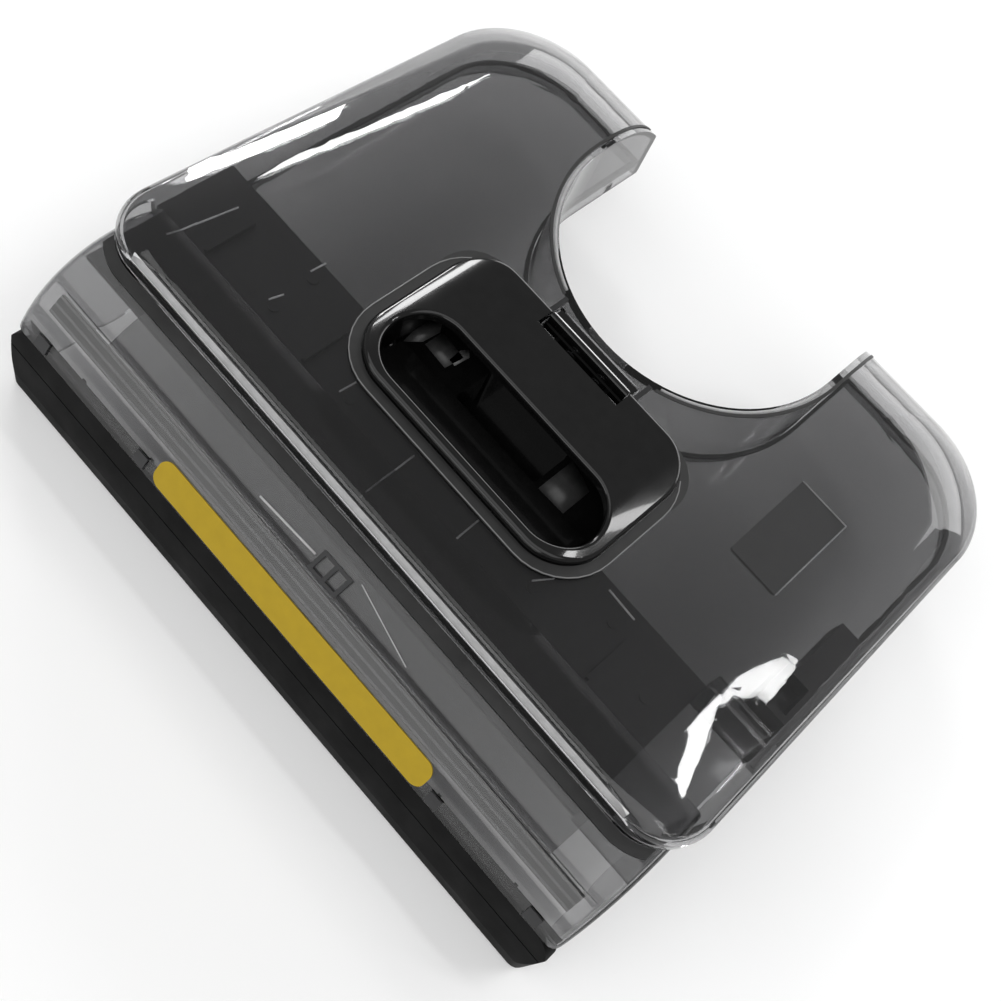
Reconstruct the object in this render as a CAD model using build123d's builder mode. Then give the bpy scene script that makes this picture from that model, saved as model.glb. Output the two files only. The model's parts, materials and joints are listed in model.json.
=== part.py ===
from build123d import *
import math
import os

# Removable see-through head cover of a wet and dry floor washer.
# Frame: millimetres, +Z up, +X to the right, +Y to the rear.
# Origin: middle of the bounding box, at the height of the bumper's lower edge.

# ---- driving dimensions -------------------------------------------------------------
BODY_HALF = 146.0          # raised body, half width
BODY_FRONT = -90.4         # raised body, front wall
BODY_REAR = 130.2          # raised body, rear wall
BODY_TOP = 75.4            # flat top of the raised body
SKIRT = 32.0               # lower edge of the raised body's walls
FRONT_CORNER_R = 22.0
REAR_CORNER_R = 42.0
EDGE_R = 4.0               # soft edge round the rim
RIM_FRONT = 69.5           # the walls end in a tilted rim, this high at the front
RIM_REAR = 56.4            # and this high at the rear
FLAT_FRONT = -86.0         # the flat top inside the rim: front edge, rear edge and half widths
FLAT_REAR = 92.0
FLAT_FRONT_HALF = 119.0
FLAT_REAR_HALF = 107.0
FLAT_FRONT_R = 14.0
FLAT_REAR_R = 24.0
ROLL_STEPS = 4             # sections in the roll-off from the flat top to the rim
WALL = 2.4                 # wall of the window moulding
GAP = 0.3                  # assembly gap

NOTCH_R = 63.0             # notch for the machine's neck
NOTCH_Y = 87.8             # centre of the notch

HOOD_Y = -81.9             # axis of the roller hood's arc
HOOD_Z = 14.4
HOOD_R = 47.7
HOOD_HALF = 142.0
HOOD_WALL = 2.2
HOOD_REAR = -64.0          # hood runs this far back under the raised body
HOOD_FRONT = -121.4        # hood's upright front wall, behind the bumper
HOOD_LOW = 2.0             # lower edge of the hood's walls
HOOD_END_R = 4.0
HOOD_CORNER_R = 20.0       # lower rear corner of the hood's end walls
BEAD_Y = -109.4            # fine raised line along the hood
BEAD_R = 0.45
BEAD_HALF = 137.4

BUMPER_HALF = 143.2
BUMPER_TOP = 35.0
BUMPER_FACE = -130.2
BUMPER_END_R = 6.0
BUMPER_TOP_R = 11.0        # round upper and lower corners of the bumper's ends
BUMPER_LOW_R = 4.0
GROOVE_Z = 24.0
GROOVE = 0.6

STRIPE_LENGTH = 140.0
STRIPE_X = 3.8
STRIPE_FROM = -117.8       # the stripe's rear and front edges on the hood
STRIPE_TO = -124.4
STRIPE_THICK = 0.6

BAFFLE_TOP = 56.0
BAFFLE_THICK = 2.4
BAFFLE_FRONT = -96.0
BAFFLE_REAR = -29.6
BAFFLE_LEFT = -143.2
BAFFLE_RIGHT = 113.4
FLOOR_TOP = 39.6
FLOOR_THICK = 2.4

BEZEL_HALF = 56.4
BEZEL_FRONT = -55.6
BEZEL_REAR = 15.4
BEZEL_HIGH = 4.6
BEZEL_FRONT_R = 20.0
BEZEL_REAR_R = 17.0
BEZEL_EDGE_R = 2.0
BEZEL_FLAT = 43.0          # the bezel is flat to here and rolls down towards its ends
BEZEL_DROP = 2.4
SLOT_EDGE_R = 1.6
SLOT_LEFT = -50.0          # finger slot in the bezel
SLOT_RIGHT = 50.8
SLOT_FRONT = -51.0
SLOT_REAR = -19.0
CUP_WALL = 2.0
CUP_REAR = -6.0
CUP_LOW = 57.2
WELL_HALF = 23.0           # deep well under the grip bar
WELL_FRONT = -27.2
WELL_LOW = 42.5
LEDGE_TOP = 63.0
LEDGE_REAR = -29.6

POCKET_HALF = 20.6         # pocket in the bezel that the latch ridge moves into
POCKET_FRONT = 6.6
RIDGE_HALF = 20.0
RIDGE_FRONT = 12.6
RIDGE_THICK = 2.6
PLATE_HALF = 20.3
PLATE_FRONT = 12.1
PLATE_REAR = 21.4
PLATE_LOW = 72.0
PLATE_THICK = 2.8
STEM_HALF = 12.0
STEM_REAR = 20.4
STEM_LOW = 56.0
HOOK_HALF = 10.0
HOOK_NOSE = 28.2
HOOK_LOW = 60.0
HOOK_HIGH = 6.0

HOUSING_HALF = 21.6        # inside half width of the latch housing
HOUSING_WALL = 2.0
HOUSING_FRONT = -4.0
HOUSING_REAR = 18.0
HOUSING_LOW = 50.0
EAR_HALF = 52.0
EAR_FRONT = -3.2
EAR_REAR = 9.6
EAR_THICK = 2.4
SCREW_R = 1.5
HEAD_R = 2.8
HEAD_HIGH = 1.8
SCREW_Y = 3.0
HOUSING_SCREW_X = 30.0
BEZEL_SCREW_X = 46.0

SPRING_R = 3.0
SPRING_WIRE = 0.45
SPRING_TURNS = 6
SPRING_X = 7.0
SPRING_Z = 65.0

UNDERSIDE = BODY_TOP - WALL
NOTCH_FRONT = NOTCH_Y - NOTCH_R

os.makedirs("parts", exist_ok=True)


# ---- helpers --------------------------------------------------------------------------
def save(builder, name):
    """Label a finished sub-part and write its STEP file."""
    builder.part.label = name
    export_step(builder.part, "parts/" + name + ".step")


def arc_z(y, radius=HOOD_R):
    """Height of the hood's arc of the given radius at y."""
    return HOOD_Z + math.sqrt(radius ** 2 - (y - HOOD_Y) ** 2)


def block(x0, x1, y0, y1, z0, z1):
    """Plain box between two corners."""
    with BuildPart() as solid:
        with BuildSketch(Plane.XY.offset(z0)):
            with Locations(((x0 + x1) / 2, (y0 + y1) / 2)):
                Rectangle(x1 - x0, y1 - y0)
        extrude(amount=z1 - z0)
    return solid.part


def rounded_block(x0, x1, y0, y1, z0, z1, front_r, rear_r):
    """Box with round upright corners, one radius in front and one at the rear."""
    with BuildPart() as solid:
        with BuildSketch(Plane.XY.offset(z0)) as outline:
            with Locations(((x0 + x1) / 2, (y0 + y1) / 2)):
                Rectangle(x1 - x0, y1 - y0)
            corners = outline.vertices().sort_by(Axis.Y)
            fillet(corners[:2], front_r)
            corners = outline.vertices().sort_by(Axis.Y)
            fillet(corners[-2:], rear_r)
        extrude(amount=z1 - z0)
    return solid.part


def notch_block(inset, z0, z1):
    """The space of the neck notch, grown by inset on every side."""
    radius = NOTCH_R + inset
    with BuildPart() as solid:
        with BuildSketch(Plane.XY.offset(z0)):
            with Locations((0, NOTCH_Y)):
                Circle(radius)
            with Locations((0, NOTCH_Y + NOTCH_R / 2)):
                Rectangle(2 * radius, NOTCH_R)
        extrude(amount=z1 - z0)
    return solid.part


def outline(front_half, rear_half, front, rear, front_r, rear_r, plane):
    """Rounded four-sided outline in a plane, wider or narrower at the rear."""
    with BuildSketch(plane) as shape:
        with BuildLine():
            Polyline((-front_half, front), (front_half, front), (rear_half, rear), (-rear_half, rear),
                     (-front_half, front))
        make_face()
        fillet(shape.vertices().sort_by(Axis.Y)[:2], front_r)
        fillet(shape.vertices().sort_by(Axis.Y)[-2:], rear_r)
    return shape.sketch


def rim_height(y, inset):
    """Height of the tilted rim at y."""
    share = (y - BODY_FRONT) / (BODY_REAR - BODY_FRONT)
    return RIM_FRONT + share * (RIM_REAR - RIM_FRONT) - 0.5 * inset


def roll_outline(inset, share):
    """Outline at a share of the way from the rim (0) to the flat top (1), on a parabola that ends flat."""
    half = BODY_HALF - inset
    front = BODY_FRONT + inset
    rear = BODY_REAR - inset
    lift = 1 - (1 - share) ** 2
    rim_at_origin = rim_height(0, inset)
    height = rim_at_origin + lift * (BODY_TOP - inset - rim_at_origin)
    tilt = (1 - lift) * (RIM_REAR - RIM_FRONT) / (BODY_REAR - BODY_FRONT)
    plane = Plane(origin=(0, 0, height), x_dir=(1, 0, 0), z_dir=(0, -tilt, 1))
    return outline(half + share * (FLAT_FRONT_HALF - half), half + share * (FLAT_REAR_HALF - half),
                   front + share * (FLAT_FRONT - front), rear + share * (FLAT_REAR - rear),
                   FRONT_CORNER_R - inset + share * (FLAT_FRONT_R - FRONT_CORNER_R + inset),
                   REAR_CORNER_R - inset + share * (FLAT_REAR_R - REAR_CORNER_R + inset), plane)


def body_block(inset, low):
    """Solid of the raised body, its outside when inset is 0 and its hollow when inset is WALL."""
    half = BODY_HALF - inset
    base = outline(half, half, BODY_FRONT + inset, BODY_REAR - inset, FRONT_CORNER_R - inset,
                   REAR_CORNER_R - inset, Plane.XY.offset(low))
    with BuildPart() as walls:
        add(base)
        add(roll_outline(inset, 0))
        loft(ruled=True)
    with BuildPart() as roof:
        for step in range(ROLL_STEPS + 1):
            add(roll_outline(inset, step / ROLL_STEPS))
        loft()
    with BuildPart() as solid:
        add(walls.part)
        add(roof.part)
        rim = solid.edges().filter_by(lambda e: abs(e.center().Z - rim_height(e.center().Y, inset)) < 0.3)
        fillet(rim.filter_by(lambda e: e.bounding_box().size.Z < RIM_FRONT - RIM_REAR), EDGE_R - inset)
        add(notch_block(inset, low - 1, BODY_TOP + 2), mode=Mode.SUBTRACT)
    return solid.part


def hood_sector(y_from, y_to, inner, outer, x0, x1):
    """Strip that follows the hood's arc between two places in y, from x0 to x1."""
    angles = [math.degrees(math.atan2(arc_z(y) - HOOD_Z, y - HOOD_Y)) for y in (y_from, y_to)]
    start = min(angles)
    sweep = max(angles) - start
    with BuildPart() as strip:
        with BuildSketch(Plane.YZ.offset(x0)):
            with BuildLine():
                outer_arc = CenterArc((HOOD_Y, HOOD_Z), outer, start, sweep)
                inner_arc = CenterArc((HOOD_Y, HOOD_Z), inner, start, sweep)
                Line(outer_arc @ 0, inner_arc @ 0)
                Line(outer_arc @ 1, inner_arc @ 1)
            make_face()
        extrude(amount=x1 - x0)
    return strip.part


def hood_volume(radius, half, front, low, rear, corner_r=0.0):
    """Solid under the hood's arc, with an upright front below the bumper's top."""
    top_front_y = HOOD_Y - math.sqrt(radius ** 2 - (BUMPER_TOP - HOOD_Z) ** 2)
    with BuildPart() as solid:
        with BuildSketch(Plane.YZ.offset(-half)) as profile:
            with BuildLine():
                ThreePointArc((top_front_y, BUMPER_TOP), (BEAD_Y, arc_z(BEAD_Y, radius)),
                              (rear, arc_z(rear, radius)))
                Polyline((rear, arc_z(rear, radius)), (rear, low), (front, low),
                         (front, BUMPER_TOP), (top_front_y, BUMPER_TOP))
            make_face()
            if corner_r:
                low_corners = profile.vertices().sort_by(Axis.Y)[:2]
                fillet(low_corners.sort_by(Axis.X)[-1], corner_r)
        extrude(amount=2 * half)
    return solid.part


# ---- window shell: see-through raised body -----------------------------------------------
body_outside = body_block(0, SKIRT)
body_inside = body_block(WALL, SKIRT - 5)
hood_space = hood_volume(HOOD_R, BODY_HALF + 1, HOOD_FRONT, 0, HOOD_REAR)
cup_hole = rounded_block(SLOT_LEFT - CUP_WALL - GAP, SLOT_RIGHT + CUP_WALL + GAP,
                         SLOT_FRONT - CUP_WALL - GAP, CUP_REAR + GAP,
                         UNDERSIDE - 1, BODY_TOP + 1, 17.5, 12.5)
screw_places = [(side * x, SCREW_Y) for x in (HOUSING_SCREW_X, BEZEL_SCREW_X) for side in (-1, 1)]

with BuildPart() as window_shell:
    add(body_outside)
    add(body_inside, mode=Mode.SUBTRACT)
    add(hood_space, mode=Mode.SUBTRACT)
    add(cup_hole, mode=Mode.SUBTRACT)
    # slot that the latch plate and ridge slide in
    add(block(-POCKET_HALF - 0.4, POCKET_HALF + 0.4, POCKET_FRONT - 0.1, PLATE_REAR + GAP,
              UNDERSIDE - 1, BODY_TOP + 1), mode=Mode.SUBTRACT)
    # window in the notch wall for the latch hook
    add(block(-HOOK_HALF - 0.5, HOOK_HALF + 0.5, NOTCH_FRONT - 6, NOTCH_FRONT + 3,
              HOOK_LOW - 0.5, HOOK_LOW + HOOK_HIGH + 0.5), mode=Mode.SUBTRACT)
    # two slots in the lower edge of the notch's flanks, for the locating lugs
    for side in (-1, 1):
        flank = side * (NOTCH_R + WALL / 2)
        add(block(flank - WALL, flank + WALL, 108, 112, SKIRT - 1, SKIRT + 5), mode=Mode.SUBTRACT)
    with BuildSketch(Plane.XY.offset(BODY_TOP + 1)):
        with Locations(*screw_places):
            Circle(SCREW_R)
    extrude(amount=-WALL - 2, mode=Mode.SUBTRACT)
save(window_shell, "window_shell")

# ---- duct floor, its seal and what stands on it ------------------------------------------
FIT = WALL + GAP
HOUSING_SIDE = HOUSING_HALF + HOUSING_WALL + 1
FLOOR_OPEN_TO = 46.0
FLOOR_OPEN_FROM = 20.0
floor_plan = rounded_block(-BODY_HALF + FIT, BODY_HALF - FIT, BODY_FRONT + FIT, BODY_REAR - FIT,
                           FLOOR_TOP - FLOOR_THICK, FLOOR_TOP, FRONT_CORNER_R - FIT, REAR_CORNER_R - FIT)
with BuildPart() as duct_floor:
    add(floor_plan)
    add(notch_block(FIT, SKIRT - 1, BODY_TOP), mode=Mode.SUBTRACT)
    add(block(-BODY_HALF, BODY_HALF, BODY_FRONT, BAFFLE_REAR, SKIRT - 1, BODY_TOP), mode=Mode.SUBTRACT)
    # open corners beside the latch, between the handle and the notch
    for side in (-1, 1):
        near = side * HOUSING_SIDE
        far = side * FLOOR_OPEN_TO
        add(block(min(near, far), max(near, far), FLOOR_OPEN_FROM, NOTCH_Y - 30, SKIRT - 1, BODY_TOP),
            mode=Mode.SUBTRACT)
save(duct_floor, "duct_floor")

SEAL_WIDE = 1.6
SEAL_HIGH = 1.6
seal_outer = rounded_block(-BODY_HALF + FIT, BODY_HALF - FIT, BODY_FRONT + FIT, BODY_REAR - FIT,
                           FLOOR_TOP, FLOOR_TOP + SEAL_HIGH, FRONT_CORNER_R - FIT, REAR_CORNER_R - FIT)
SEAL_IN = FIT + SEAL_WIDE
seal_inner = rounded_block(-BODY_HALF + SEAL_IN, BODY_HALF - SEAL_IN, BODY_FRONT + SEAL_IN,
                           BODY_REAR - SEAL_IN, FLOOR_TOP - 1, FLOOR_TOP + SEAL_HIGH + 1,
                           FRONT_CORNER_R - SEAL_IN, REAR_CORNER_R - SEAL_IN)
with BuildPart() as seal_core:
    add(seal_inner)
    add(notch_block(SEAL_IN, SKIRT, BODY_TOP), mode=Mode.SUBTRACT)
with BuildPart() as duct_seal:
    add(seal_outer)
    add(notch_block(FIT, SKIRT, BODY_TOP), mode=Mode.SUBTRACT)
    add(seal_core.part, mode=Mode.SUBTRACT)
    add(block(-BODY_HALF, BODY_HALF, BODY_FRONT, BAFFLE_REAR, SKIRT, BODY_TOP), mode=Mode.SUBTRACT)
save(duct_seal, "duct_seal")

PAD_X0, PAD_X1, PAD_Y0, PAD_Y1 = 84.4, 108.6, 26.0, 72.0
with BuildPart() as floor_pad:
    add(rounded_block(PAD_X0, PAD_X1, PAD_Y0, PAD_Y1, FLOOR_TOP, FLOOR_TOP + 1.6, 1.5, 1.5))
save(floor_pad, "floor_pad")

BRACKET_X0 = 128.0
BRACKET_X1 = BODY_HALF - SEAL_IN - GAP
with BuildPart() as side_bracket:
    add(block(BRACKET_X0, BRACKET_X1, -16, 4, FLOOR_TOP, FLOOR_TOP + 14))
    add(block(BRACKET_X0 + 4, BRACKET_X1, 4, 34, FLOOR_TOP, FLOOR_TOP + 10))
    add(block(BRACKET_X0 + 3, BRACKET_X1 - 2, -13, 1, FLOOR_TOP + 6, FLOOR_TOP + 15), mode=Mode.SUBTRACT)
save(side_bracket, "side_bracket")

for side, name in ((-1, "locating_lug_left"), (1, "locating_lug_right")):
    lug_x = side * (NOTCH_R + WALL / 2)
    with BuildPart() as lug:
        add(block(lug_x - 1.2, lug_x + 1.2, 108.2, 111.8, SKIRT + 0.2, SKIRT + 4.8))
    save(lug, name)

# ---- brush baffle: black roof and rear riser of the roller chamber ----------------------------
with BuildPart() as brush_baffle:
    with BuildSketch(Plane.YZ.offset(BAFFLE_LEFT)):
        with BuildLine():
            Polyline((HOOD_REAR + GAP, BAFFLE_TOP), (BAFFLE_REAR, BAFFLE_TOP),
                     (BAFFLE_REAR, FLOOR_TOP - FLOOR_THICK),
                     (BAFFLE_REAR - BAFFLE_THICK, FLOOR_TOP - FLOOR_THICK),
                     (BAFFLE_REAR - BAFFLE_THICK, BAFFLE_TOP - BAFFLE_THICK),
                     (BAFFLE_FRONT, BAFFLE_TOP - BAFFLE_THICK), (BAFFLE_FRONT, BAFFLE_TOP),
                     (HOOD_REAR + GAP, BAFFLE_TOP))
        make_face()
    extrude(amount=BAFFLE_RIGHT - BAFFLE_LEFT)
    # the hood's end wall stands beside it, up to the hood's rear edge
    add(block(BAFFLE_LEFT - 1, -HOOD_HALF + HOOD_WALL + GAP, BODY_FRONT - 10, HOOD_REAR + GAP,
              SKIRT, BODY_TOP), mode=Mode.SUBTRACT)
    # suction ports in the riser
    for x0, x1 in ((-118, -66), (-56, 56), (66, 104)):
        add(block(x0, x1, BAFFLE_REAR - BAFFLE_THICK - 1, BAFFLE_REAR + 1, 42, 52.4), mode=Mode.SUBTRACT)
    # low stiffening ribs on the roof
    for x in (-118, -64, 84):
        add(block(x - 0.7, x + 0.7, HOOD_REAR + 2, -40, BAFFLE_TOP, BAFFLE_TOP + 2.2))
save(brush_baffle, "brush_baffle")

TRAY_X0 = BAFFLE_RIGHT + GAP
TRAY_X1 = HOOD_HALF - HOOD_WALL - GAP
with BuildPart() as end_tray:
    add(block(TRAY_X0, TRAY_X1, BAFFLE_FRONT, -24, 50, 52))
    add(block(TRAY_X0, TRAY_X1, -34.6, -33, 52, 66))
    add(block(TRAY_X0, TRAY_X1, -26.6, -25, 52, 60))
save(end_tray, "end_tray")

STAKE_PLACES = [(-88, -37), (-87, -56), (-43, -58), (19, -60), (49, -54), (76, -40), (102, -50)]
with BuildPart() as heat_stakes:
    with BuildSketch(Plane.XY.offset(BAFFLE_TOP)):
        with Locations(*STAKE_PLACES):
            Circle(2.2)
    extrude(amount=0.7)
save(heat_stakes, "heat_stakes")

# ---- roller hood -----------------------------------------------------------------------------
hood_outside = hood_volume(HOOD_R, HOOD_HALF, HOOD_FRONT, HOOD_LOW, HOOD_REAR, HOOD_CORNER_R)
hood_inside = hood_volume(HOOD_R - HOOD_WALL, HOOD_HALF - HOOD_WALL, HOOD_FRONT + HOOD_WALL, -1,
                          HOOD_REAR + 1)
with BuildPart() as brush_hood:
    add(hood_outside)
    ends = brush_hood.edges().filter_by(GeomType.CIRCLE).filter_by(lambda e: e.center().Z > BUMPER_TOP)
    fillet(ends, HOOD_END_R)
    add(hood_inside, mode=Mode.SUBTRACT)
    with BuildSketch(Plane.YZ.offset(-BEAD_HALF)):
        with Locations((BEAD_Y, arc_z(BEAD_Y))):
            Circle(BEAD_R)
    extrude(amount=2 * BEAD_HALF)
save(brush_hood, "brush_hood")

HOOD_SEAL_OUT = 4.6
HOOD_SEAL_HIGH = 0.9
with BuildPart() as hood_seal:
    add(hood_sector(-96, -70, HOOD_R, HOOD_R + HOOD_SEAL_HIGH, -HOOD_HALF + 4, HOOD_HALF - 4))
    add(rounded_block(-BODY_HALF - 2, BODY_HALF + 2, BODY_FRONT - HOOD_SEAL_OUT, BODY_REAR,
                      40, 80, FRONT_CORNER_R + 2, 2), mode=Mode.INTERSECT)
    add(rounded_block(-BODY_HALF - GAP, BODY_HALF + GAP, BODY_FRONT - GAP, BODY_REAR,
                      39, 81, FRONT_CORNER_R + GAP, 2), mode=Mode.SUBTRACT)
save(hood_seal, "hood_seal")

with BuildPart() as accent_strip:
    add(hood_sector(STRIPE_TO, STRIPE_FROM, HOOD_R, HOOD_R + STRIPE_THICK,
                    STRIPE_X - STRIPE_LENGTH / 2, STRIPE_X + STRIPE_LENGTH / 2))
    corners = accent_strip.edges().filter_by(lambda e: e.length < 2 * STRIPE_THICK)
    fillet(corners, 4.4)
save(accent_strip, "accent_strip")

CLIP_THICK = 1.0
with BuildPart() as centre_clip:
    add(hood_sector(-108.7, -101.4, HOOD_R, HOOD_R + CLIP_THICK, -4.6, 9.4))
    add(hood_sector(-107.6, -102.5, HOOD_R - 1, HOOD_R + CLIP_THICK + 1, -3, 1.6), mode=Mode.SUBTRACT)
    add(hood_sector(-107.6, -102.5, HOOD_R - 1, HOOD_R + CLIP_THICK + 1, 3.2, 7.8), mode=Mode.SUBTRACT)
save(centre_clip, "centre_clip")

with BuildPart() as bumper_clips:
    for x0, x1 in ((-76, -70.5), (77, 82.5), (-131, -125), (125.5, 131.5)):
        add(hood_sector(-124.4, -121.8, HOOD_R, HOOD_R + 0.8, x0, x1))
save(bumper_clips, "bumper_clips")

SCRAPER_OUT = HOOD_R - HOOD_WALL
LINER_THICK = 1.2
with BuildPart() as hood_liner:
    add(hood_sector(-110.4, -93, SCRAPER_OUT - LINER_THICK, SCRAPER_OUT, -109, 117))
save(hood_liner, "hood_liner")

SCRAPER_HALF = 134.0
with BuildPart() as roller_scraper:
    add(hood_sector(-117, -111, SCRAPER_OUT - 1.8, SCRAPER_OUT, -SCRAPER_HALF, SCRAPER_HALF))
    add(hood_sector(-114.4, -113.2, SCRAPER_OUT - 8, SCRAPER_OUT - 1, -SCRAPER_HALF, SCRAPER_HALF))
save(roller_scraper, "roller_scraper")

RAIL_THICK = 2.6
rail_y = HOOD_FRONT + HOOD_WALL
with BuildPart() as bumper_rail:
    add(block(-HOOD_HALF + 6, HOOD_HALF - 6, rail_y, rail_y + RAIL_THICK, 4, 15))
    for x in range(-120, 121, 40):
        add(block(x - 0.8, x + 0.8, rail_y + RAIL_THICK, rail_y + RAIL_THICK + 4, 6, 13))
save(bumper_rail, "bumper_rail")

# ---- rubber bumper -----------------------------------------------------------------------------
bumper_top_y = HOOD_Y - math.sqrt(HOOD_R ** 2 - (BUMPER_TOP - HOOD_Z) ** 2)
with BuildPart() as front_bumper:
    with BuildSketch(Plane.YZ.offset(-BUMPER_HALF)):
        with BuildLine():
            Polyline((BUMPER_FACE, 10), (BUMPER_FACE, 2), (BUMPER_FACE + 2, 0), (HOOD_FRONT, 0),
                     (HOOD_FRONT, BUMPER_TOP), (bumper_top_y, BUMPER_TOP))
            ThreePointArc((bumper_top_y, BUMPER_TOP), (-127.7, GROOVE_Z), (BUMPER_FACE, 10))
        make_face()
    extrude(amount=2 * BUMPER_HALF)
    add(rounded_block(-BUMPER_HALF, BUMPER_HALF, BUMPER_FACE, HOOD_FRONT, -1, BUMPER_TOP + 1,
                      BUMPER_END_R, 1), mode=Mode.INTERSECT)
    with BuildSketch(Plane.XZ.offset(-BUMPER_FACE + 1)) as elevation:
        with Locations((0, BUMPER_TOP / 2)):
            Rectangle(2 * BUMPER_HALF, BUMPER_TOP)
        fillet(elevation.vertices().sort_by(Axis.Y)[-2:], BUMPER_TOP_R)
        fillet(elevation.vertices().sort_by(Axis.Y)[:2], BUMPER_LOW_R)
    extrude(amount=BUMPER_FACE - HOOD_FRONT - 2, mode=Mode.INTERSECT)
    add(block(-BUMPER_HALF - 1, BUMPER_HALF + 1, BUMPER_FACE - 1, -127.7 + GROOVE, GROOVE_Z - GROOVE / 2,
              GROOVE_Z + GROOVE / 2), mode=Mode.SUBTRACT)
save(front_bumper, "front_bumper")

# ---- carrying handle: bezel, cup and gasket --------------------------------------------------------
bezel_top = BODY_TOP + BEZEL_HIGH


def in_slot(edge):
    """True for the upper edges of the finger slot."""
    box = edge.bounding_box()
    inside = box.min.X > SLOT_LEFT - 1 and box.max.X < SLOT_RIGHT + 1
    return inside and box.min.Y > SLOT_FRONT - 1 and box.max.Y < SLOT_REAR + 1 and box.min.Z > BODY_TOP + 1


def on_crease(edge):
    """True for the straight lines where the flat middle of the bezel meets its domed ends."""
    return edge.bounding_box().size.X < 0.01 and abs(abs(edge.center().X) - BEZEL_FLAT) < 0.1


with BuildPart() as handle_bezel:
    add(rounded_block(-BEZEL_HALF, BEZEL_HALF, BEZEL_FRONT, BEZEL_REAR, BODY_TOP, BODY_TOP + BEZEL_HIGH,
                      BEZEL_FRONT_R, BEZEL_REAR_R))
    with BuildSketch(Plane.XZ.offset(-BEZEL_REAR - 1)):
        with BuildLine():
            Line((-BEZEL_FLAT, bezel_top), (BEZEL_FLAT, bezel_top))
            ThreePointArc((BEZEL_FLAT, bezel_top),
                          ((BEZEL_FLAT + BEZEL_HALF) / 2, bezel_top - BEZEL_DROP / 4),
                          (BEZEL_HALF, bezel_top - BEZEL_DROP))
            Polyline((BEZEL_HALF, bezel_top - BEZEL_DROP), (BEZEL_HALF, BODY_TOP), (-BEZEL_HALF, BODY_TOP),
                     (-BEZEL_HALF, bezel_top - BEZEL_DROP))
            ThreePointArc((-BEZEL_HALF, bezel_top - BEZEL_DROP),
                          (-(BEZEL_FLAT + BEZEL_HALF) / 2, bezel_top - BEZEL_DROP / 4),
                          (-BEZEL_FLAT, bezel_top))
        make_face()
    extrude(amount=BEZEL_REAR - BEZEL_FRONT + 2, mode=Mode.INTERSECT)
    top_rim = handle_bezel.edges().filter_by(lambda e: e.bounding_box().min.Z > bezel_top - BEZEL_DROP - 0.1)
    fillet(top_rim.filter_by(lambda e: not on_crease(e)), BEZEL_EDGE_R)
    slot_mid = ((SLOT_LEFT + SLOT_RIGHT) / 2, (SLOT_FRONT + SLOT_REAR) / 2)
    with BuildSketch(Plane.XY.offset(BODY_TOP - 1)):
        with Locations(slot_mid):
            SlotOverall(SLOT_RIGHT - SLOT_LEFT, SLOT_REAR - SLOT_FRONT)
    extrude(amount=BEZEL_HIGH + 2, mode=Mode.SUBTRACT)
    slot_rim = handle_bezel.edges().filter_by(lambda e: in_slot(e) and not on_crease(e))
    fillet(slot_rim.filter_by(lambda e: e.bounding_box().size.Z < BEZEL_DROP), SLOT_EDGE_R)
    add(block(-POCKET_HALF, POCKET_HALF, POCKET_FRONT, BEZEL_REAR + 1, BODY_TOP - 1,
              BODY_TOP + BEZEL_HIGH + 1), mode=Mode.SUBTRACT)
    with BuildSketch(Plane.XY.offset(BODY_TOP - 1)):
        with Locations(*screw_places):
            Circle(SCREW_R)
    extrude(amount=4, mode=Mode.SUBTRACT)
save(handle_bezel, "handle_bezel")

with BuildPart() as cup_solid:
    add(rounded_block(SLOT_LEFT - CUP_WALL, SLOT_RIGHT + CUP_WALL, SLOT_FRONT - CUP_WALL, CUP_REAR,
                      CUP_LOW, BODY_TOP, 17.2, 12.2))
    add(rounded_block(-WELL_HALF, WELL_HALF, WELL_FRONT - CUP_WALL, CUP_REAR, WELL_LOW, CUP_LOW + 1, 3, 3))
cup_outside = cup_solid.part
with BuildPart() as handle_cup:
    add(cup_outside)
    add(rounded_block(SLOT_LEFT, SLOT_RIGHT, SLOT_FRONT, CUP_REAR - CUP_WALL,
                      CUP_LOW + CUP_WALL, BODY_TOP + 1, 15.2, 10.2), mode=Mode.SUBTRACT)
    add(rounded_block(-WELL_HALF + CUP_WALL, WELL_HALF - CUP_WALL, WELL_FRONT, CUP_REAR - CUP_WALL,
                      WELL_LOW + CUP_WALL, BODY_TOP, 1.5, 1.5), mode=Mode.SUBTRACT)
    # slanted front wall of the recess, which ends in a ledge along the well
    with BuildSketch(Plane.YZ.offset(SLOT_LEFT + 2)):
        with BuildLine():
            Polyline((SLOT_FRONT - 1, CUP_LOW + 1), (SLOT_FRONT - 1, BODY_TOP - 3),
                     (SLOT_FRONT + 2, BODY_TOP - 3), (LEDGE_REAR, LEDGE_TOP), (LEDGE_REAR, CUP_LOW + 1),
                     (SLOT_FRONT - 1, CUP_LOW + 1))
        make_face()
    extrude(amount=SLOT_RIGHT - SLOT_LEFT - 4)
    add(cup_outside, mode=Mode.INTERSECT)
save(handle_cup, "handle_cup")

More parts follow.
